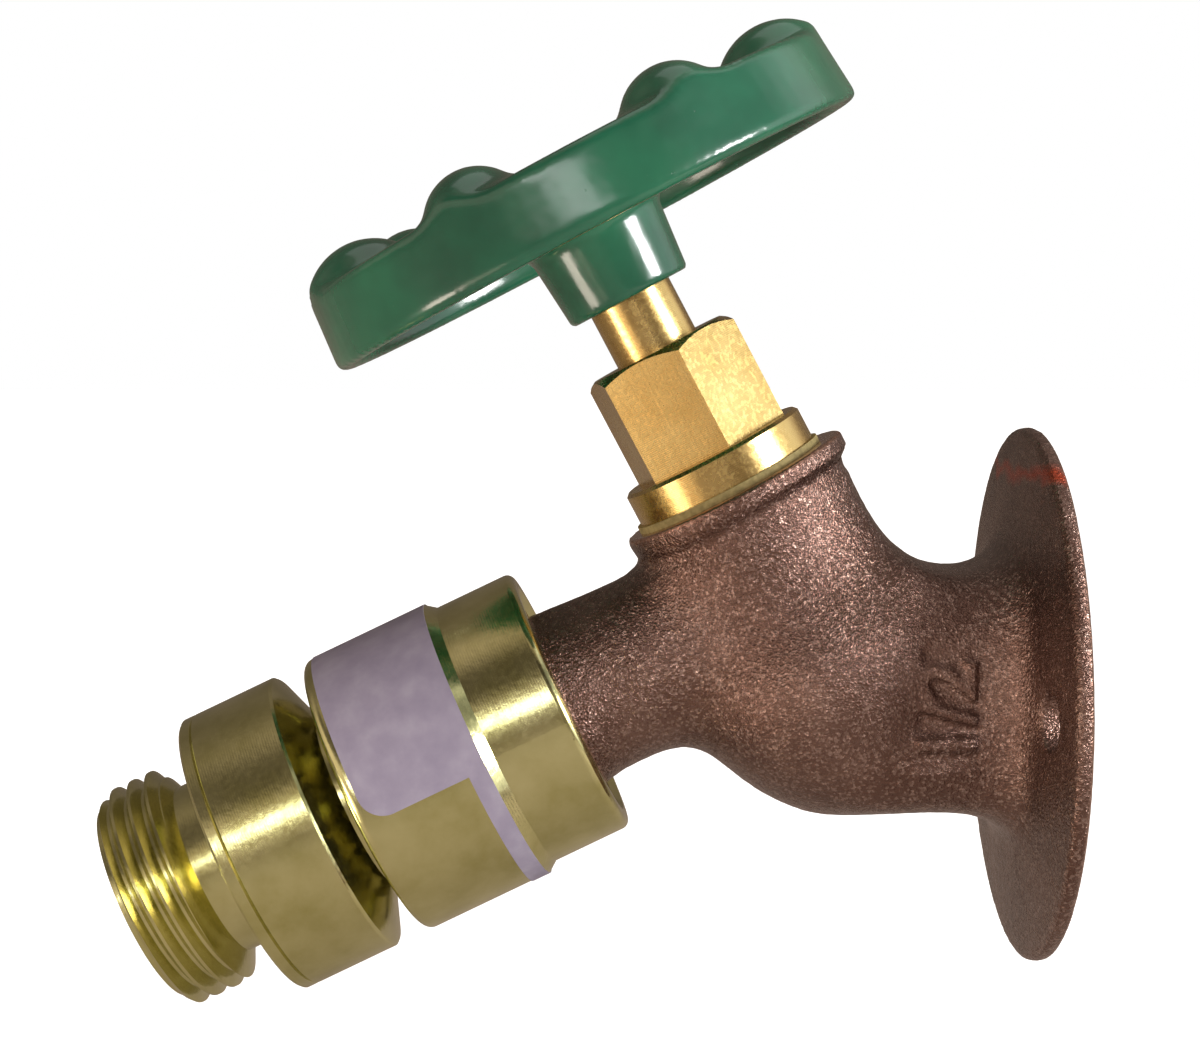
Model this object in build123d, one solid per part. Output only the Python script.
"""Wall sillcock: a flanged 45-degree hose tap with a hose vacuum breaker screwed on its outlet.

Millimetres. The wall is the plane Y = 0, the tap stands out towards -Y, and +Z is up.
The origin is the centre of the inlet, in the flange's back face, and the inlet runs along +Y.
Everything on the stem is drawn upright about Z, with heights measured from the point where the
stem axis meets the inlet axis, and is then tilted with the stem. Everything on the outlet is drawn
along Z, with distances measured down the outlet from the point where its axis meets the stem axis.
"""
from build123d import *
from math import cos, hypot, radians, sin, sqrt, tan
import os

# General fits
RUNNING_CLEARANCE = 0.06
THREAD_CLEARANCE = 0.05
SEAT_CLEARANCE = 0.02
OVERSHOOT = 1.0

# Layout of the three axes
STEM_TILT = 28.0
STEM_SETBACK = 23.0
OUTLET_DROP = 25.5
OUTLET_HEIGHT = 13.1

# Wall flange of the casting
FLANGE_RADIUS = 31.1
FLANGE_RIM_THICKNESS = 1.9
FLANGE_HUB_THICKNESS = 4.6
FLANGE_HUB_RADIUS = 12.0
FLANGE_EDGE_ROUND = 0.8
SCREW_SPACING = 44.0
SCREW_HOLE_RADIUS = 3.2

# Wrench neck of the casting, between flange and globe
NECK_WIDTH = 28.0
NECK_HEIGHT = 27.4
NECK_RISE = 0.6
NECK_CORNER_ROUND = 6.0
NECK_FLANGE_FILLET = 2.6
SADDLE_RADIUS = 13.6
SADDLE_FILLET = 8.0

# Globe and boss of the casting, as radii about the stem axis and heights along it
CASTING_WALL = 3.2
GLOBE_RADIUS = 17.4
GLOBE_HEIGHT = 5.1
GLOBE_ARC = 21.2
GLOBE_LOWER_ANGLE = -40.0
BOSS_RADIUS = 13.4
BOSS_START = 13.0
BOSS_TOP = 27.5
LIP_OVERHANG = 0.5
LIP_HEIGHT = 2.2
LIP_ROUND = 0.7
LIP_EDGE_ROUND = 0.3
LIP_OFFSET = 0.4

# Inlet bore, sized for a half-inch pipe thread
PIPE_BORE_RADIUS = 10.7
PIPE_BORE_DEPTH = 12.0
INLET_PASSAGE_RADIUS = 7.5

# Chambers and seat inside the globe
BRIDGE_BOTTOM = 0.5
BRIDGE_TOP = 3.8
CHAMBER_RADIUS = 12.0
SEAT_HEIGHT = 1.4
SEAT_BORE_RADIUS = 6.2
SEAT_CROWN_WIDTH = 1.4
SEAT_FOOT_WIDTH = 2.8
BONNET_THREAD_RELIEF = 0.5

# Outlet pipe and its hose thread, hidden in the vacuum breaker
OUTLET_PIPE_RADIUS = 10.7
OUTLET_THREAD_RADIUS = 13.45
OUTLET_THREAD_LENGTH = 7.0
OUTLET_CONE_LENGTH = 1.2
OUTLET_BORE_RADIUS = 6.2

# Bonnet and its gasket
GASKET_THICKNESS = 0.8
GASKET_RADIUS = 11.7
SHANK_RADIUS = 9.7
SHANK_LENGTH = 9.0
COLLAR_RADIUS = 11.2
COLLAR_HEIGHT = 4.0
COLLAR_CHAMFER = 0.4
HEX_ACROSS_FLATS = 17.0
HEX_HEIGHT = 13.3
HEX_PHASE = 9.5
HEX_TOP_INSET = 0.3
HEX_TOP_DROP = 1.0

# Stem
STEM_RADIUS = 5.05
STEM_EXPOSED = 8.4
STEM_THREAD_RADIUS = 6.2
STEM_THREAD_GAP = 0.66
STEM_THREAD_LENGTH = 8.5
STEM_NECK_RADIUS = 2.9
STEM_BUTTON_RADIUS = 4.2
STEM_BUTTON_HEIGHT = 1.8
STEM_SQUARE = 7.0
STEM_SQUARE_LENGTH = 9.9
THREAD_LEAD = 25.4 / 12
TURNS_TO_OPEN = 3

# Stem seals
O_RING_WIRE_RADIUS = 0.7
O_RING_GROOVE_WIDTH = 1.8
O_RING_COVER = 0.85
O_RING_PITCH = 3.4
O_RING_COUNT = 2
THRUST_WASHER_THICKNESS = 0.8

# Disc holder and seat washer
SEAT_WASHER_MARGIN = 0.6
SEAT_WASHER_THICKNESS = 2.8
HOLDER_RIM_WALL = 0.6
HOLDER_RIM_DROP = 1.4
HOLDER_PLATE_THICKNESS = 2.4
HOLDER_SOCKET_WALL = 1.3
HOLDER_FLOOR = 0.5
HOLDER_LIP = 0.5
DISC_SCREW_RADIUS = 2.0
DISC_SCREW_HEAD_RADIUS = 3.6
DISC_SCREW_HEAD_HEIGHT = 1.8
DISC_SCREW_GRIP = 1.4

# Handwheel
WHEEL_RADIUS = 33.6
WHEEL_DRAFT = 5.0
WHEEL_SKIRT_HEIGHT = 8.8
WHEEL_SKIRT_WALL = 2.2
WHEEL_EDGE_ROUND = 0.9
WHEEL_TOP_WALL = 2.3
WHEEL_DISH_DEPTH = 4.8
WHEEL_LAND_WIDTH = 15.4
WHEEL_DISH_INNER = 13.5
WHEEL_PAD_RADIUS = 16.2
WHEEL_PAD_THICKNESS = 2.5
WHEEL_WEB_WIDTH = 4.2
WHEEL_CLAMP_ROOM = 0.3
HUB_RADIUS = 7.5
HUB_DRAFT = 5.0
HUB_SKIRT = 1.7
HUB_ROOT_FILLET = 1.5
HUB_EDGE_ROUND = 0.5
LOBE_COUNT = 7
LOBE_FIRST_ANGLE = -25.0
LOBE_INSET = 6.8
LOBE_AXIS_DROP = 2.0
LOBE_GIRTH_RADIUS = 5.6
LOBE_ARC = 7.8
LOBE_ROOT_FILLET = 2.9

# Handwheel screw and lock washer
WHEEL_SCREW_RADIUS = 2.0
WHEEL_SCREW_REACH = 8.0
WHEEL_SCREW_TIP_ROOM = 1.0
WHEEL_SCREW_HEAD_RADIUS = 4.6
WHEEL_SCREW_HEAD_HEIGHT = 2.6
LOCK_WASHER_MARGIN = 0.6
LOCK_WASHER_THICKNESS = 0.8
SCREW_SLOT_WIDTH = 1.1
SCREW_SLOT_DEPTH = 1.0

# Vacuum breaker body, from its inlet face down the outlet
BREAKER_START = 28.0
BREAKER_COLLAR_RADIUS = 16.3
BREAKER_COLLAR_LENGTH = 9.6
BREAKER_COLLAR_ROUND = 1.0
BREAKER_STEP_LENGTH = 1.2
BREAKER_RADIUS = 17.2
BREAKER_LENGTH = 26.5
BREAKER_END_ROUND = 1.1
BREAKER_ENTRY_CHAMFER = 0.8
BREAKER_SHELF = 11.6
BREAKER_SHELF_THICKNESS = 2.4
BREAKER_ORIFICE = 6.5
BREAKER_CHAMBER = 12.6
HOSE_WASHER_THICKNESS = 2.2
HOSE_WASHER_HOLE = 8.5
HOSE_WASHER_ROOM = 0.2
VENT_COUNT = 12
VENT_SLOT_WIDTH = 2.0
VENT_SLOT_DEPTH = 0.9
VENT_SLOT_REACH = 3.4

# Outlet nipple of the breaker
NIPPLE_RECESS = 1.9
NIPPLE_GAP = 1.4
NIPPLE_CONE_LENGTH = 2.45
NIPPLE_COLLAR_LENGTH = 11.85
NIPPLE_NECK_RADIUS = 10.5
NIPPLE_COLLAR_CHAMFER = 0.3
NIPPLE_LINE_OFFSET = 1.4
NIPPLE_LINE_WIDTH = 0.35
NIPPLE_LINE_DEPTH = 0.25
NIPPLE_BORE_RADIUS = 7.0
NIPPLE_CHAMBER_RADIUS = 8.2
VENT_RADIUS = 0.7

# Hose thread of the nipple, three-quarter inch with 11.5 turns to the inch
UNDERCUT_RADIUS = 10.4
UNDERCUT_LENGTH = 5.6
UNDERCUT_FILLET = 1.2
HOSE_THREAD_RADIUS = 13.49
HOSE_THREAD_PITCH = 25.4 / 11.5
HOSE_THREAD_DEPTH = 1.42
HOSE_THREAD_LENGTH = 6.6
HOSE_THREAD_CREST = 0.35
HOSE_THREAD_CHAMFER = 0.5
HOSE_PILOT_RADIUS = 12.0
HOSE_PILOT_LENGTH = 0.8

# Valve parts inside the breaker
DIAPHRAGM_THICKNESS = 1.2
DIAPHRAGM_HOLE = 4.5
CHECK_DISC_RADIUS = 6.8
CHECK_DISC_THICKNESS = 1.6
CHECK_STEM_RADIUS = 1.6
CHECK_STEM_OVERHANG = 0.6
GUIDE_THICKNESS = 2.0
GUIDE_RING_WALL = 1.0
GUIDE_HUB_WALL = 1.5
GUIDE_SPOKES = 3
GUIDE_SPOKE_WIDTH = 1.6
SPRING_WIRE_RADIUS = 0.3
SPRING_RADIUS = 4.2
SPRING_TURNS = 5

# Breakaway set screw and paper label of the breaker
SET_SCREW_RADIUS = 1.6
SET_SCREW_PLACE = 5.4
SET_SCREW_STUB = 0.3
LABEL_THICKNESS = 0.1
LABEL_END_MARGIN = 1.4
LABEL_BAND_WIDTH = 2.2
LABEL_START_ANGLE = -2.0
LABEL_SWEEP = 128.0
LABEL_CORNER_ROUND = 3.0

# Heights on the stem axis
LIFT = THREAD_LEAD * TURNS_TO_OPEN
SEAT_TOP = BRIDGE_TOP + SEAT_HEIGHT
GASKET_TOP = BOSS_TOP + GASKET_THICKNESS
COLLAR_TOP = GASKET_TOP + COLLAR_HEIGHT
HEX_TOP = COLLAR_TOP + HEX_HEIGHT
SHANK_BOTTOM = GASKET_TOP - SHANK_LENGTH
WASHER_BOTTOM = SEAT_TOP + SEAT_CLEARANCE
HOLDER_UNDERSIDE = WASHER_BOTTOM + SEAT_WASHER_THICKNESS
HOLDER_PLATE_TOP = HOLDER_UNDERSIDE + HOLDER_PLATE_THICKNESS
BUTTON_BOTTOM = HOLDER_PLATE_TOP + HOLDER_FLOOR + RUNNING_CLEARANCE
BUTTON_TOP = BUTTON_BOTTOM + STEM_BUTTON_HEIGHT
HOLDER_TOP = BUTTON_TOP + RUNNING_CLEARANCE + HOLDER_LIP
STEM_THREAD_BOTTOM = HOLDER_TOP + STEM_THREAD_GAP
STEM_THREAD_TOP = STEM_THREAD_BOTTOM + STEM_THREAD_LENGTH
THRUST_WASHER_TOP = STEM_THREAD_TOP + THRUST_WASHER_THICKNESS
BONNET_SHOULDER = THRUST_WASHER_TOP + LIFT + RUNNING_CLEARANCE
O_RING_LAST = HEX_TOP - LIFT - O_RING_COVER - O_RING_GROOVE_WIDTH
STEM_SHOULDER = HEX_TOP + STEM_EXPOSED
STEM_TOP = STEM_SHOULDER + STEM_SQUARE_LENGTH
HUB_BOTTOM = STEM_SHOULDER - HUB_SKIRT
WHEEL_PAD_TOP = STEM_TOP + WHEEL_CLAMP_ROOM
WHEEL_PAD_BOTTOM = WHEEL_PAD_TOP - WHEEL_PAD_THICKNESS
WHEEL_TOP = WHEEL_PAD_TOP + WHEEL_DISH_DEPTH
WHEEL_RIM_PLANE = WHEEL_TOP - WHEEL_SKIRT_HEIGHT
LOBE_AXIS_HEIGHT = WHEEL_TOP - LOBE_AXIS_DROP
LOBE_PAD_RADIUS = LOBE_INSET + LOBE_ROOT_FILLET
WHEEL_SCREW_SEAT = WHEEL_PAD_TOP + LOCK_WASHER_THICKNESS
WHEEL_SCREW_TIP = WHEEL_SCREW_SEAT - WHEEL_SCREW_REACH

# Places along the outlet, from the breaker's inlet face
HOSE_WASHER_START = BREAKER_SHELF - HOSE_WASHER_THICKNESS
SHELF_END = BREAKER_SHELF + BREAKER_SHELF_THICKNESS
DIAPHRAGM_END = SHELF_END + DIAPHRAGM_THICKNESS
SPIGOT_START = DIAPHRAGM_END + SEAT_CLEARANCE
SPIGOT_END = BREAKER_LENGTH - NIPPLE_RECESS
NECK_END = BREAKER_LENGTH + NIPPLE_GAP
NIPPLE_COLLAR_START = NECK_END + NIPPLE_CONE_LENGTH
NIPPLE_COLLAR_END = NIPPLE_COLLAR_START + NIPPLE_COLLAR_LENGTH
HOSE_THREAD_START = NIPPLE_COLLAR_END + UNDERCUT_LENGTH
HOSE_THREAD_END = HOSE_THREAD_START + HOSE_THREAD_LENGTH
NIPPLE_END = HOSE_THREAD_END + HOSE_PILOT_LENGTH
CHECK_START = DIAPHRAGM_END + RUNNING_CLEARANCE
CHECK_END = CHECK_START + CHECK_DISC_THICKNESS
GUIDE_START = NECK_END - GUIDE_THICKNESS
LABEL_START = BREAKER_COLLAR_LENGTH + BREAKER_STEP_LENGTH
LABEL_END = BREAKER_LENGTH - LABEL_END_MARGIN
OUTLET_TIP = BREAKER_START + HOSE_WASHER_START

# Radii worked out from what they fit
SEAT_CROWN_RADIUS = SEAT_BORE_RADIUS + SEAT_CROWN_WIDTH
SEAT_FOOT_RADIUS = SEAT_BORE_RADIUS + SEAT_FOOT_WIDTH
SEAT_WASHER_RADIUS = SEAT_CROWN_RADIUS + SEAT_WASHER_MARGIN
HOLDER_RADIUS = SEAT_WASHER_RADIUS + SEAT_CLEARANCE + HOLDER_RIM_WALL
BUTTON_SOCKET_RADIUS = STEM_BUTTON_RADIUS + RUNNING_CLEARANCE
HOLDER_SOCKET_RADIUS = BUTTON_SOCKET_RADIUS + HOLDER_SOCKET_WALL
O_RING_GROOVE_RADIUS = STEM_RADIUS - 2 * O_RING_WIRE_RADIUS
WHEEL_DISH_OUTER = WHEEL_RADIUS - WHEEL_LAND_WIDTH
HUB_ROOT_RADIUS = HUB_RADIUS + (WHEEL_PAD_BOTTOM - HUB_BOTTOM) * tan(radians(HUB_DRAFT))
LOCK_WASHER_RADIUS = WHEEL_SCREW_HEAD_RADIUS + LOCK_WASHER_MARGIN
BREAKER_THREAD_BORE = OUTLET_THREAD_RADIUS + THREAD_CLEARANCE
SPIGOT_RADIUS = BREAKER_CHAMBER - THREAD_CLEARANCE
NIPPLE_COLLAR_RADIUS = BREAKER_RADIUS
LABEL_INNER_RADIUS = BREAKER_RADIUS + SEAT_CLEARANCE
LABEL_OUTER_RADIUS = LABEL_INNER_RADIUS + LABEL_THICKNESS

STEM_PLANE = Plane(
    origin=(0, -STEM_SETBACK, 0),
    x_dir=(1, 0, 0),
    z_dir=(0, -sin(radians(STEM_TILT)), cos(radians(STEM_TILT))),
)
OUTLET_DIRECTION = (0, -cos(radians(OUTLET_DROP)), -sin(radians(OUTLET_DROP)))
OUTLET_ORIGIN = STEM_PLANE.from_local_coords((0, 0, OUTLET_HEIGHT))
OUTLET_PLANE = Plane(origin=OUTLET_ORIGIN, x_dir=(1, 0, 0), z_dir=OUTLET_DIRECTION)
BREAKER_PLANE = OUTLET_PLANE.offset(BREAKER_START)
INLET_PLANE = Plane(origin=(0, 0, 0), x_dir=(1, 0, 0), z_dir=(0, -1, 0))


def rod(radius, bottom, top):
    """An upright cylinder about Z between two heights."""
    return Pos(0, 0, bottom) * Cylinder(
        radius, top - bottom, align=(Align.CENTER, Align.CENTER, Align.MIN)
    )


def ring(outer, inner, bottom, top):
    """An upright ring about Z between two heights."""
    return rod(outer, bottom, top) - rod(inner, bottom - OVERSHOOT, top + OVERSHOOT)


def turned(*corners):
    """A solid turned about Z from the corners of its half section, as radius and height."""
    outline = Polyline(*[(radius, 0, height) for radius, height in corners], close=True)
    return revolve(make_face(outline), Axis.Z)


def upright_bar(width, depth, bottom, top):
    """An upright square or oblong bar about Z between two heights."""
    return Pos(0, 0, bottom) * Box(
        width, depth, top - bottom, align=(Align.CENTER, Align.CENTER, Align.MIN)
    )


def on_inlet(shape):
    """Lay an upright shape along the inlet, from the wall towards the globe."""
    return INLET_PLANE.location * shape


def on_stem(shape):
    """Tilt an upright shape onto the stem axis."""
    return STEM_PLANE.location * shape


def on_outlet(shape):
    """Lay an upright shape along the outlet, from where its axis meets the stem axis."""
    return OUTLET_PLANE.location * shape


def on_breaker(shape):
    """Lay an upright shape along the outlet, from the breaker's inlet face."""
    return BREAKER_PLANE.location * shape


def around(count, shape, first=0.0):
    """Copies of an upright shape, evenly spaced around Z."""
    return [Rot(0, 0, first + place * 360 / count) * shape for place in range(count)]


def arcs_at(height, radius, shape):
    """The edges of an upright shape that run round Z at one height and radius."""
    return shape.edges().filter_by(
        lambda edge: abs((edge @ 0.5).Z - height) < 0.01
        and abs(hypot((edge @ 0.5).X, (edge @ 0.5).Y) - radius) < 0.01
    )


def slotted_head(radius, bottom, top):
    """A round screw head with a slot across its upper face."""
    slot = upright_bar(2 * radius + OVERSHOOT, SCREW_SLOT_WIDTH, top - SCREW_SLOT_DEPTH, top + OVERSHOOT)
    return rod(radius, bottom, top) - slot


def globe_form(wall):
    """The globe and boss turned about the stem axis, drawn in from the outside by a wall."""
    arc = GLOBE_ARC - wall
    centre_x = GLOBE_RADIUS - GLOBE_ARC
    bottom = GLOBE_HEIGHT - sqrt(arc**2 - centre_x**2)
    side = radians(GLOBE_LOWER_ANGLE)
    shoulder = Vector(GLOBE_RADIUS - wall, 0, GLOBE_HEIGHT)
    boss = Vector(BOSS_RADIUS - wall, 0, BOSS_START)
    middle = (shoulder + boss) / 2
    belly = ThreePointArc(
        (0, 0, bottom),
        (centre_x + arc * cos(side), 0, GLOBE_HEIGHT + arc * sin(side)),
        shoulder,
    )
    upper = TangentArc(shoulder, middle, tangent=(0, 0, 1))
    lower = TangentArc(middle, boss, tangent=upper % 1)
    rest = Polyline(boss, (BOSS_RADIUS - wall, 0, BOSS_TOP), (0, 0, BOSS_TOP), (0, 0, bottom))
    return revolve(make_face([belly, upper, lower, rest]), Axis.Z)


def make_flange():
    """The round wall flange, thicker towards the neck, with its rounded rim."""
    profile = Polyline(
        (0, 0),
        (FLANGE_RADIUS, 0),
        (FLANGE_RADIUS, -FLANGE_RIM_THICKNESS),
        (FLANGE_HUB_RADIUS, -FLANGE_HUB_THICKNESS),
        (0, -FLANGE_HUB_THICKNESS),
        close=True,
    )
    flange = revolve(make_face(profile), Axis.Y)
    rims = flange.edges().filter_by(GeomType.CIRCLE)
    rims = rims.filter_by(lambda edge: abs(edge.radius - FLANGE_RADIUS) < 0.01)
    return fillet(rims, min(FLANGE_EDGE_ROUND, 0.45 * FLANGE_RIM_THICKNESS))


def make_neck():
    """The flange with the rounded square neck that a wrench holds, blended together."""
    outline = RectangleRounded(NECK_WIDTH, NECK_HEIGHT, NECK_CORNER_ROUND)
    section = Plane.XZ * Pos(0, NECK_RISE) * outline
    base = make_flange() + extrude(section, amount=STEM_SETBACK)
    foot = base.edges().filter_by(
        lambda edge: -FLANGE_HUB_THICKNESS < edge.center().Y < -FLANGE_RIM_THICKNESS
        and edge.length < NECK_HEIGHT
    )
    return fillet(foot, NECK_FLANGE_FILLET)


def make_saddle():
    """The metal that fills the angle between boss and neck, hollowed by a large fillet."""
    half_turn = radians(90 - STEM_TILT) / 2
    boss_side = STEM_PLANE.from_local_coords((0, BOSS_RADIUS, 0))
    up = Vector(STEM_PLANE.z_dir)
    neck_top = NECK_RISE + NECK_HEIGHT / 2
    rise = (neck_top - boss_side.Z) / up.Z
    corner = boss_side + up * rise
    reach = SADDLE_FILLET * tan(half_turn)
    on_boss = corner + up * reach
    on_neck = corner + Vector(0, reach, 0)
    centre = on_neck + Vector(0, 0, SADDLE_FILLET)
    middle = centre + (corner - centre).normalized() * SADDLE_FILLET
    inner = Vector(0, -STEM_SETBACK, 0)
    profile = make_face(
        [ThreePointArc(on_boss, middle, on_neck), Polyline(on_neck, inner, on_boss)]
    )
    block = extrude(profile, amount=SADDLE_RADIUS, both=True)
    bisector = (up + Vector(0, 1, 0)).normalized()
    pipe = Plane(origin=inner, x_dir=(1, 0, 0), z_dir=bisector).location * rod(
        SADDLE_RADIUS, 0, 2 * BOSS_TOP
    )
    return block & pipe


def make_outlet_pipe():
    """The outlet pipe and the blank of its hose thread."""
    thread_start = OUTLET_TIP - OUTLET_THREAD_LENGTH
    cone_start = thread_start - OUTLET_CONE_LENGTH
    thread = turned(
        (0, cone_start),
        (OUTLET_PIPE_RADIUS, cone_start),
        (OUTLET_THREAD_RADIUS, thread_start),
        (OUTLET_THREAD_RADIUS, OUTLET_TIP),
        (0, OUTLET_TIP),
    )
    return rod(OUTLET_PIPE_RADIUS, 0, cone_start + OVERSHOOT) + thread


def make_boss_lip():
    """The rolled lip at the boss's mouth, cast a little off the machined axis."""
    radius = BOSS_RADIUS + LIP_OVERHANG
    bottom = BOSS_TOP - LIP_HEIGHT
    lip = rod(radius, bottom, BOSS_TOP)
    lip = fillet(arcs_at(bottom, radius, lip), min(LIP_ROUND, 0.45 * LIP_HEIGHT))
    return Pos(0, LIP_OFFSET, 0) * fillet(arcs_at(BOSS_TOP, radius, lip), LIP_EDGE_ROUND)


def make_seat():
    """The raised seat on the bridge between the two chambers."""
    return turned(
        (0, BRIDGE_BOTTOM),
        (SEAT_FOOT_RADIUS, BRIDGE_BOTTOM),
        (SEAT_FOOT_RADIUS, BRIDGE_TOP),
        (SEAT_CROWN_RADIUS, SEAT_TOP),
        (0, SEAT_TOP),
    )


def make_valve_body():
    """The sand-cast body, bored and chambered: in at the wall, up through the seat, out in front."""
    outside = make_neck() + on_stem(globe_form(0)) + make_saddle() + on_outlet(make_outlet_pipe())
    outside = outside + on_stem(make_boss_lip())
    inside = globe_form(CASTING_WALL)
    relief_top = SHANK_BOTTOM - BONNET_THREAD_RELIEF
    below_bridge = rod(2 * GLOBE_RADIUS, -2 * GLOBE_RADIUS, BRIDGE_BOTTOM)
    lower_chamber = on_stem(inside & below_bridge)
    passage = on_inlet(rod(INLET_PASSAGE_RADIUS, 0, STEM_SETBACK)) & on_stem(below_bridge)
    upper_chamber = (inside & rod(CHAMBER_RADIUS, BRIDGE_TOP, relief_top)) - make_seat()
    boss_thread = rod(SHANK_RADIUS + THREAD_CLEARANCE, relief_top - OVERSHOOT, BOSS_TOP + OVERSHOOT)
    seat_bore = rod(SEAT_BORE_RADIUS, BRIDGE_BOTTOM - OVERSHOOT, SEAT_TOP + OVERSHOOT)
    outlet_bore = on_outlet(rod(OUTLET_BORE_RADIUS, 0, OUTLET_TIP + OVERSHOOT))
    pipe_bore = rod(PIPE_BORE_RADIUS, -OVERSHOOT, PIPE_BORE_DEPTH)
    body = outside - lower_chamber - passage - on_stem(upper_chamber) - on_stem(boss_thread)
    body = body - on_stem(seat_bore) - outlet_bore - on_inlet(pipe_bore)
    screw_hole = on_inlet(rod(SCREW_HOLE_RADIUS, -OVERSHOOT, FLANGE_HUB_THICKNESS))
    for side in (-1, 1):
        body = body - Pos(side * SCREW_SPACING / 2, 0, 0) * screw_hole
    return body


def make_bonnet():
    """The turned bonnet: threaded shank, round collar and a hexagon with a chamfered top."""
    corner_radius = HEX_ACROSS_FLATS / sqrt(3)
    hexagon = Pos(0, 0, COLLAR_TOP) * extrude(
        RegularPolygon(corner_radius, 6, rotation=HEX_PHASE), amount=HEX_HEIGHT
    )
    chamfered = turned(
        (0, COLLAR_TOP),
        (corner_radius + OVERSHOOT, COLLAR_TOP),
        (corner_radius + OVERSHOOT, HEX_TOP - HEX_TOP_DROP),
        (corner_radius, HEX_TOP - HEX_TOP_DROP),
        (HEX_ACROSS_FLATS / 2 - HEX_TOP_INSET, HEX_TOP),
        (0, HEX_TOP),
    )
    collar = turned(
        (0, GASKET_TOP),
        (COLLAR_RADIUS, GASKET_TOP),
        (COLLAR_RADIUS, COLLAR_TOP - COLLAR_CHAMFER),
        (COLLAR_RADIUS - COLLAR_CHAMFER, COLLAR_TOP),
        (0, COLLAR_TOP),
    )
    outside = rod(SHANK_RADIUS, SHANK_BOTTOM, GASKET_TOP) + collar + (hexagon & chamfered)
    stem_bore = rod(STEM_RADIUS + RUNNING_CLEARANCE, SHANK_BOTTOM, HEX_TOP + OVERSHOOT)
    thread_bore = rod(
        STEM_THREAD_RADIUS + THREAD_CLEARANCE, SHANK_BOTTOM - OVERSHOOT, BONNET_SHOULDER
    )
    return outside - stem_bore - thread_bore


def make_bonnet_gasket():
    """The flat fibre ring under the bonnet's collar."""
    return ring(GASKET_RADIUS, SHANK_RADIUS + THREAD_CLEARANCE, BOSS_TOP, GASKET_TOP)


def o_ring_heights():
    """The lower side of each O-ring groove of the stem, from the lowest up."""
    return [O_RING_LAST - O_RING_PITCH * back for back in reversed(range(O_RING_COUNT))]


def make_stem():
    """The spindle: button for the disc holder, coarse thread, grooved shaft and wheel square."""
    corners = [
        (0, BUTTON_BOTTOM),
        (STEM_BUTTON_RADIUS, BUTTON_BOTTOM),
        (STEM_BUTTON_RADIUS, BUTTON_TOP),
        (STEM_NECK_RADIUS, BUTTON_TOP),
        (STEM_NECK_RADIUS, STEM_THREAD_BOTTOM),
        (STEM_THREAD_RADIUS, STEM_THREAD_BOTTOM),
        (STEM_THREAD_RADIUS, STEM_THREAD_TOP),
        (STEM_RADIUS, STEM_THREAD_TOP),
    ]
    for height in o_ring_heights():
        top = height + O_RING_GROOVE_WIDTH
        corners += [(STEM_RADIUS, height), (O_RING_GROOVE_RADIUS, height)]
        corners += [(O_RING_GROOVE_RADIUS, top), (STEM_RADIUS, top)]
    corners += [(STEM_RADIUS, STEM_SHOULDER), (0, STEM_SHOULDER)]
    square = upright_bar(STEM_SQUARE, STEM_SQUARE, STEM_SHOULDER, STEM_TOP)
    tapped_hole = rod(
        WHEEL_SCREW_RADIUS + THREAD_CLEARANCE,
        WHEEL_SCREW_TIP - WHEEL_SCREW_TIP_ROOM,
        STEM_TOP + OVERSHOOT,
    )
    return turned(*corners) + square - tapped_hole


def make_stem_o_rings():
    """The two packing rings in the stem's grooves."""
    radius = O_RING_GROOVE_RADIUS + SEAT_CLEARANCE + O_RING_WIRE_RADIUS
    o_ring = Torus(radius, O_RING_WIRE_RADIUS)
    middle = O_RING_GROOVE_WIDTH / 2
    return Compound([Pos(0, 0, height + middle) * o_ring for height in o_ring_heights()])


def make_thrust_washer():
    """The washer on the stem's thread that meets the bonnet's shoulder when the tap is open."""
    return ring(
        STEM_THREAD_RADIUS, STEM_RADIUS + RUNNING_CLEARANCE, STEM_THREAD_TOP, THRUST_WASHER_TOP
    )


def make_disc_holder():
    """The disc under the stem: a rim round the seat washer and a side-entry socket for the button."""
    disc = rod(HOLDER_RADIUS, HOLDER_UNDERSIDE - HOLDER_RIM_DROP, HOLDER_PLATE_TOP)
    washer_pocket = rod(
        SEAT_WASHER_RADIUS + SEAT_CLEARANCE,
        HOLDER_UNDERSIDE - HOLDER_RIM_DROP - OVERSHOOT,
        HOLDER_UNDERSIDE,
    )
    socket = rod(HOLDER_SOCKET_RADIUS, HOLDER_PLATE_TOP, HOLDER_TOP)
    button_room = rod(
        BUTTON_SOCKET_RADIUS, BUTTON_BOTTOM - RUNNING_CLEARANCE, BUTTON_TOP + RUNNING_CLEARANCE
    )
    neck_room = rod(STEM_NECK_RADIUS + RUNNING_CLEARANCE, BUTTON_BOTTOM, HOLDER_TOP + OVERSHOOT)
    slot_length = HOLDER_SOCKET_RADIUS + OVERSHOOT
    button_way = Pos(-slot_length / 2, 0, 0) * upright_bar(
        slot_length,
        2 * BUTTON_SOCKET_RADIUS,
        BUTTON_BOTTOM - RUNNING_CLEARANCE,
        BUTTON_TOP + RUNNING_CLEARANCE,
    )
    neck_way = Pos(-slot_length / 2, 0, 0) * upright_bar(
        slot_length,
        2 * (STEM_NECK_RADIUS + RUNNING_CLEARANCE),
        BUTTON_BOTTOM,
        HOLDER_TOP + OVERSHOOT,
    )
    screw_hole = rod(
        DISC_SCREW_RADIUS + THREAD_CLEARANCE,
        HOLDER_UNDERSIDE - OVERSHOOT,
        HOLDER_UNDERSIDE + DISC_SCREW_GRIP,
    )
    holder = disc + socket - washer_pocket - button_room - neck_room
    return holder - button_way - neck_way - screw_hole


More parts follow.
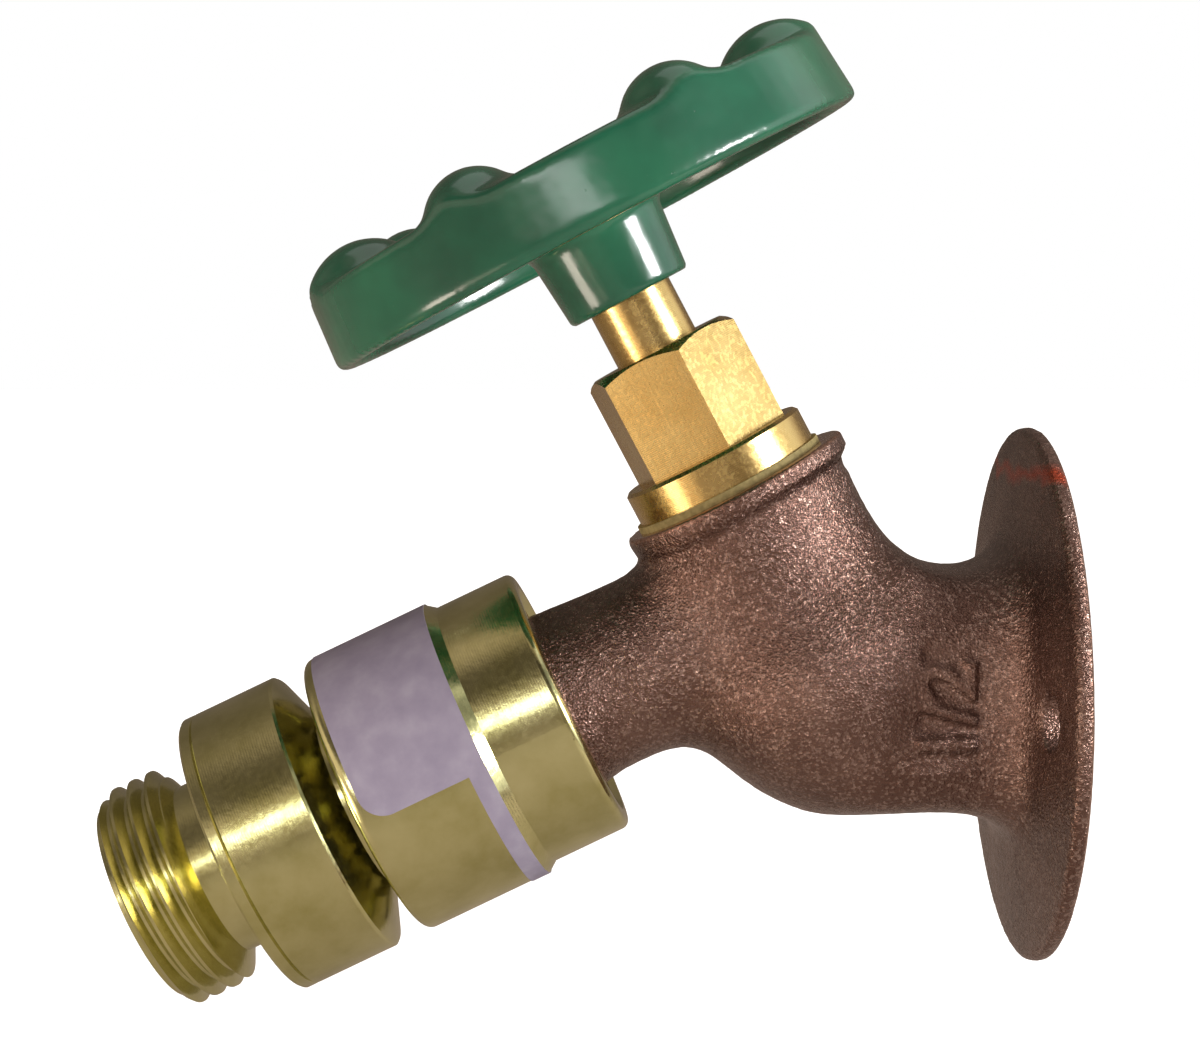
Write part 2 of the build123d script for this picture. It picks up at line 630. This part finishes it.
def make_seat_washer():
    """The rubber washer that closes the seat."""
    return ring(
        SEAT_WASHER_RADIUS, DISC_SCREW_RADIUS + RUNNING_CLEARANCE, WASHER_BOTTOM, HOLDER_UNDERSIDE
    )


def make_seat_washer_screw():
    """The slotted screw that clamps the seat washer, its head down in the seat bore."""
    head_bottom = WASHER_BOTTOM - DISC_SCREW_HEAD_HEIGHT
    head = Rot(180, 0, 0) * slotted_head(DISC_SCREW_HEAD_RADIUS, -WASHER_BOTTOM, -head_bottom)
    tip = HOLDER_UNDERSIDE + DISC_SCREW_GRIP - SEAT_CLEARANCE
    return head + rod(DISC_SCREW_RADIUS, WASHER_BOTTOM, tip)


def wheel_radius(height):
    """The outer radius of the wheel's drafted skirt at a height."""
    return WHEEL_RADIUS - (height - WHEEL_RIM_PLANE) * tan(radians(WHEEL_DRAFT))


def make_wheel_blank():
    """The wheel without its lobes: hub, dished pad, rim land and skirt, a little oversize outside."""
    under_top = WHEEL_TOP - WHEEL_TOP_WALL
    outer = WHEEL_RADIUS + OVERSHOOT
    return turned(
        (0, HUB_BOTTOM),
        (HUB_RADIUS, HUB_BOTTOM),
        (HUB_ROOT_RADIUS, WHEEL_PAD_BOTTOM),
        (WHEEL_PAD_RADIUS, WHEEL_PAD_BOTTOM),
        (WHEEL_PAD_RADIUS + WHEEL_WEB_WIDTH, under_top),
        (wheel_radius(under_top) - WHEEL_SKIRT_WALL, under_top),
        (WHEEL_RADIUS - WHEEL_SKIRT_WALL, WHEEL_RIM_PLANE),
        (outer, WHEEL_RIM_PLANE),
        (outer, WHEEL_TOP),
        (WHEEL_DISH_OUTER, WHEEL_TOP),
        (WHEEL_DISH_INNER, WHEEL_PAD_TOP),
        (0, WHEEL_PAD_TOP),
    )


def make_lobe():
    """One finger lobe: a barrel lying on a radial axis, on a pad that its root is blended into."""
    centre = WHEEL_RADIUS - LOBE_INSET
    reach = sqrt(LOBE_ARC**2 - (LOBE_ARC - LOBE_GIRTH_RADIUS) ** 2)
    inner = (centre - reach, 0, LOBE_AXIS_HEIGHT)
    outer = (centre + reach, 0, LOBE_AXIS_HEIGHT)
    top = (centre, 0, LOBE_AXIS_HEIGHT + LOBE_GIRTH_RADIUS)
    outline = make_face([ThreePointArc(inner, top, outer), Line(outer, inner)])
    barrel = revolve(outline, Axis((0, 0, LOBE_AXIS_HEIGHT), (1, 0, 0)))
    crown = barrel & rod(2 * WHEEL_RADIUS, LOBE_AXIS_HEIGHT, WHEEL_TOP + LOBE_GIRTH_RADIUS)
    pad = Pos(centre, 0, 0) * rod(LOBE_PAD_RADIUS, LOBE_AXIS_HEIGHT, WHEEL_TOP)
    lobe = pad + crown
    root = lobe.edges().filter_by(
        lambda edge: abs(edge.center().Z - WHEEL_TOP) < 0.01 and edge.geom_type != GeomType.CIRCLE
    )
    return fillet(root, LOBE_ROOT_FILLET)


def make_handwheel():
    """The cast handwheel with its seven lobes, trimmed to the skirt's cone and bored for the stem."""
    lobe_top = WHEEL_TOP + LOBE_GIRTH_RADIUS
    on_land = make_lobe() - rod(WHEEL_DISH_OUTER, WHEEL_TOP - WHEEL_TOP_WALL, lobe_top)
    blank = make_wheel_blank()
    for lobe in around(LOBE_COUNT, on_land, LOBE_FIRST_ANGLE):
        blank = blank + lobe
    envelope = turned(
        (0, HUB_BOTTOM),
        (WHEEL_RADIUS, HUB_BOTTOM),
        (WHEEL_RADIUS, WHEEL_RIM_PLANE),
        (wheel_radius(lobe_top), lobe_top),
        (0, lobe_top),
    )
    square_hole = upright_bar(
        STEM_SQUARE + 2 * RUNNING_CLEARANCE,
        STEM_SQUARE + 2 * RUNNING_CLEARANCE,
        HUB_BOTTOM,
        WHEEL_PAD_TOP + OVERSHOOT,
    )
    counterbore = rod(STEM_RADIUS + RUNNING_CLEARANCE, HUB_BOTTOM - OVERSHOOT, STEM_SHOULDER)
    wheel = (blank & envelope) - square_hole - counterbore
    skirt_edge = min(WHEEL_EDGE_ROUND, 0.45 * WHEEL_SKIRT_WALL)
    for height, radius, rounding in (
        (HUB_BOTTOM, HUB_RADIUS, HUB_EDGE_ROUND),
        (WHEEL_PAD_BOTTOM, HUB_ROOT_RADIUS, HUB_ROOT_FILLET),
        (WHEEL_RIM_PLANE, WHEEL_RADIUS - WHEEL_SKIRT_WALL, skirt_edge),
        (WHEEL_RIM_PLANE, WHEEL_RADIUS, skirt_edge),
        (WHEEL_TOP, wheel_radius(WHEEL_TOP), skirt_edge),
    ):
        wheel = fillet(arcs_at(height, radius, wheel), rounding)
    return wheel


def make_lock_washer():
    """The washer under the handwheel screw."""
    return ring(
        LOCK_WASHER_RADIUS, WHEEL_SCREW_RADIUS + RUNNING_CLEARANCE, WHEEL_PAD_TOP, WHEEL_SCREW_SEAT
    )


def make_handwheel_screw():
    """The slotted screw that holds the wheel on the stem's square."""
    head = slotted_head(
        WHEEL_SCREW_HEAD_RADIUS, WHEEL_SCREW_SEAT, WHEEL_SCREW_SEAT + WHEEL_SCREW_HEAD_HEIGHT
    )
    return head + rod(WHEEL_SCREW_RADIUS, WHEEL_SCREW_TIP, WHEEL_SCREW_SEAT)


def make_breaker_body():
    """The breaker's brass shell: inlet collar, step and body, with vent slots in its outlet end."""
    outside = turned(
        (0, 0),
        (BREAKER_COLLAR_RADIUS, 0),
        (BREAKER_COLLAR_RADIUS, BREAKER_COLLAR_LENGTH),
        (BREAKER_RADIUS, LABEL_START),
        (BREAKER_RADIUS, BREAKER_LENGTH),
        (0, BREAKER_LENGTH),
    )
    outside = fillet(arcs_at(0, BREAKER_COLLAR_RADIUS, outside), BREAKER_COLLAR_ROUND)
    outside = fillet(arcs_at(BREAKER_LENGTH, BREAKER_RADIUS, outside), BREAKER_END_ROUND)
    inside = turned(
        (0, -OVERSHOOT),
        (BREAKER_THREAD_BORE + BREAKER_ENTRY_CHAMFER + OVERSHOOT, -OVERSHOOT),
        (BREAKER_THREAD_BORE, BREAKER_ENTRY_CHAMFER),
        (BREAKER_THREAD_BORE, BREAKER_SHELF),
        (BREAKER_ORIFICE, BREAKER_SHELF),
        (BREAKER_ORIFICE, SHELF_END),
        (BREAKER_CHAMBER, SHELF_END),
        (BREAKER_CHAMBER, BREAKER_LENGTH + OVERSHOOT),
        (0, BREAKER_LENGTH + OVERSHOOT),
    )
    body = outside - inside
    slot = Pos(BREAKER_CHAMBER, 0, 0) * upright_bar(
        2 * VENT_SLOT_REACH, VENT_SLOT_WIDTH, BREAKER_LENGTH - VENT_SLOT_DEPTH, BREAKER_LENGTH + OVERSHOOT
    )
    for cutter in around(VENT_COUNT, slot):
        body = body - cutter
    return body - set_screw_rod(SET_SCREW_RADIUS + THREAD_CLEARANCE, OUTLET_THREAD_RADIUS, OVERSHOOT)


def set_screw_rod(radius, start, stub):
    """A radial rod at the set screw's place, on the far side from the label."""
    end = BREAKER_COLLAR_RADIUS + stub
    return Pos(0, 0, SET_SCREW_PLACE) * Rot(0, -90, 0) * rod(radius, start, end)


def make_breakaway_screw():
    """The set screw that locks the breaker on the outlet, its head broken off flush."""
    return set_screw_rod(SET_SCREW_RADIUS, OUTLET_THREAD_RADIUS + SEAT_CLEARANCE, SET_SCREW_STUB)


def make_hose_washer():
    """The rubber washer that the outlet's end is screwed against."""
    return ring(
        BREAKER_THREAD_BORE - HOSE_WASHER_ROOM, HOSE_WASHER_HOLE, HOSE_WASHER_START, BREAKER_SHELF
    )


def make_vent_diaphragm():
    """The rubber diaphragm on the breaker's shelf that covers the vents."""
    return ring(BREAKER_CHAMBER - THREAD_CLEARANCE, DIAPHRAGM_HOLE, SHELF_END, DIAPHRAGM_END)


def make_thread_groove():
    """The helical V cut that leaves the nipple's hose thread."""
    root = HOSE_THREAD_RADIUS - HOSE_THREAD_DEPTH
    proud = HOSE_THREAD_RADIUS + OVERSHOOT
    root_half = HOSE_THREAD_CREST / 2
    mouth_half = (HOSE_THREAD_PITCH - HOSE_THREAD_CREST) / 2
    mouth_half += (mouth_half - root_half) * OVERSHOOT / HOSE_THREAD_DEPTH
    start = HOSE_THREAD_START - HOSE_THREAD_PITCH / 2
    length = HOSE_THREAD_LENGTH + HOSE_THREAD_PITCH
    path = Helix(HOSE_THREAD_PITCH, length, root, center=(0, 0, start))
    section = Polyline(
        (root, 0, start - root_half),
        (proud, 0, start - mouth_half),
        (proud, 0, start + mouth_half),
        (root, 0, start + root_half),
        close=True,
    )
    return sweep(make_face(section), path=path, is_frenet=True)


def make_outlet_nipple():
    """The outlet nipple: vented spigot, neck, cone, turned collar, undercut and hose thread."""
    line = NIPPLE_COLLAR_END - NIPPLE_LINE_OFFSET
    outside = turned(
        (0, SPIGOT_START),
        (SPIGOT_RADIUS, SPIGOT_START),
        (SPIGOT_RADIUS, SPIGOT_END),
        (NIPPLE_NECK_RADIUS, SPIGOT_END),
        (NIPPLE_NECK_RADIUS, NECK_END),
        (NIPPLE_COLLAR_RADIUS - NIPPLE_COLLAR_CHAMFER, NIPPLE_COLLAR_START),
        (NIPPLE_COLLAR_RADIUS, NIPPLE_COLLAR_START + NIPPLE_COLLAR_CHAMFER),
        (NIPPLE_COLLAR_RADIUS, line - NIPPLE_LINE_WIDTH),
        (NIPPLE_COLLAR_RADIUS - NIPPLE_LINE_DEPTH, line - NIPPLE_LINE_WIDTH / 2),
        (NIPPLE_COLLAR_RADIUS, line),
        (NIPPLE_COLLAR_RADIUS, NIPPLE_COLLAR_END - NIPPLE_COLLAR_CHAMFER),
        (NIPPLE_COLLAR_RADIUS - NIPPLE_COLLAR_CHAMFER, NIPPLE_COLLAR_END),
        (UNDERCUT_RADIUS, NIPPLE_COLLAR_END),
        (UNDERCUT_RADIUS, HOSE_THREAD_START - (HOSE_THREAD_RADIUS - UNDERCUT_RADIUS) / 2),
        (HOSE_THREAD_RADIUS, HOSE_THREAD_START),
        (HOSE_THREAD_RADIUS, HOSE_THREAD_END - HOSE_THREAD_CHAMFER),
        (HOSE_THREAD_RADIUS - HOSE_THREAD_CHAMFER, HOSE_THREAD_END),
        (HOSE_PILOT_RADIUS, HOSE_THREAD_END),
        (HOSE_PILOT_RADIUS, NIPPLE_END),
        (0, NIPPLE_END),
    )
    outside = fillet(arcs_at(NIPPLE_COLLAR_END, UNDERCUT_RADIUS, outside), UNDERCUT_FILLET)
    nipple = outside - make_thread_groove()
    nipple = nipple - rod(NIPPLE_CHAMBER_RADIUS, SPIGOT_START - OVERSHOOT, NECK_END)
    nipple = nipple - rod(NIPPLE_BORE_RADIUS, NECK_END - OVERSHOOT, NIPPLE_END + OVERSHOOT)
    vent_circle = (NIPPLE_NECK_RADIUS + SPIGOT_RADIUS) / 2
    vent = Pos(vent_circle, 0, 0) * rod(VENT_RADIUS, SPIGOT_START - OVERSHOOT, SPIGOT_END + OVERSHOOT)
    for cutter in around(VENT_COUNT, vent):
        nipple = nipple - cutter
    return nipple


def make_check_disc():
    """The check disc with the stem that runs in the spring guide."""
    disc = rod(CHECK_DISC_RADIUS, CHECK_START, CHECK_END)
    return disc + rod(CHECK_STEM_RADIUS, CHECK_START, NECK_END + CHECK_STEM_OVERHANG)


def make_spring_guide():
    """The spider that guides the check disc's stem: ring, spokes and hub."""
    outer = NIPPLE_CHAMBER_RADIUS - THREAD_CLEARANCE
    inner = outer - GUIDE_RING_WALL
    guide = ring(outer, inner, GUIDE_START, NECK_END)
    bore = CHECK_STEM_RADIUS + RUNNING_CLEARANCE
    hub = bore + GUIDE_HUB_WALL
    guide = guide + rod(hub, GUIDE_START, NECK_END)
    reach = inner + GUIDE_RING_WALL / 2
    spoke = Pos(reach / 2, 0, 0) * upright_bar(reach, GUIDE_SPOKE_WIDTH, GUIDE_START, NECK_END)
    for each in around(GUIDE_SPOKES, spoke):
        guide = guide + each
    return guide - rod(bore, GUIDE_START - OVERSHOOT, NECK_END + OVERSHOOT)


def make_check_spring():
    """The compression spring between check disc and guide, one unbroken tube."""
    first = CHECK_END + SPRING_WIRE_RADIUS
    last = GUIDE_START - SPRING_WIRE_RADIUS
    pitch = (last - first) / SPRING_TURNS
    print("check spring: least gap between turns", round(pitch - 2 * SPRING_WIRE_RADIUS, 2), "mm")
    path = Helix(pitch, last - first, SPRING_RADIUS, center=(0, 0, first))
    section = Plane(origin=path @ 0, z_dir=path % 0) * Circle(SPRING_WIRE_RADIUS)
    return sweep(section, path=path, is_frenet=True)


def label_corner(side):
    """What is cut from an outer corner of the label to round it, seen square on."""
    depth = 4 * BREAKER_COLLAR_ROUND
    square = Pos(
        LABEL_OUTER_RADIUS, side * LABEL_CORNER_ROUND / 2, LABEL_END - LABEL_CORNER_ROUND / 2
    ) * Box(depth, LABEL_CORNER_ROUND, LABEL_CORNER_ROUND)
    rounding = Pos(
        LABEL_OUTER_RADIUS, side * LABEL_CORNER_ROUND, LABEL_END - LABEL_CORNER_ROUND
    ) * Rot(0, 90, 0) * Cylinder(LABEL_CORNER_ROUND, 2 * depth)
    return square - rounding


def make_breaker_label():
    """The paper label: a narrow tail right round the breaker and the label proper over its top."""
    band = ring(
        LABEL_OUTER_RADIUS, LABEL_INNER_RADIUS, LABEL_START, LABEL_START + LABEL_BAND_WIDTH
    )
    strip = Polyline(
        (LABEL_INNER_RADIUS, 0, LABEL_START),
        (LABEL_OUTER_RADIUS, 0, LABEL_START),
        (LABEL_OUTER_RADIUS, 0, LABEL_END),
        (LABEL_INNER_RADIUS, 0, LABEL_END),
        close=True,
    )
    panel = revolve(make_face(strip), Axis.Z, revolution_arc=LABEL_SWEEP)
    panel = panel - label_corner(1) - Rot(0, 0, LABEL_SWEEP) * label_corner(-1)
    panel = Rot(0, 0, LABEL_START_ANGLE) * panel
    return band + panel


STEM_NODES = {
    "bonnet": make_bonnet,
    "bonnet_gasket": make_bonnet_gasket,
    "stem": make_stem,
    "stem_o_rings": make_stem_o_rings,
    "thrust_washer": make_thrust_washer,
    "disc_holder": make_disc_holder,
    "seat_washer": make_seat_washer,
    "seat_washer_screw": make_seat_washer_screw,
    "handwheel": make_handwheel,
    "lock_washer": make_lock_washer,
    "handwheel_screw": make_handwheel_screw,
}
BREAKER_NODES = {
    "breaker_body": make_breaker_body,
    "breakaway_screw": make_breakaway_screw,
    "hose_washer": make_hose_washer,
    "vent_diaphragm": make_vent_diaphragm,
    "outlet_nipple": make_outlet_nipple,
    "check_disc": make_check_disc,
    "spring_guide": make_spring_guide,
    "check_spring": make_check_spring,
    "breaker_label": make_breaker_label,
}

os.makedirs("parts", exist_ok=True)
export_step(make_valve_body(), "parts/valve_body.step")
for name, make in STEM_NODES.items():
    export_step(on_stem(make()), f"parts/{name}.step")
for name, make in BREAKER_NODES.items():
    export_step(on_breaker(make()), f"parts/{name}.step")
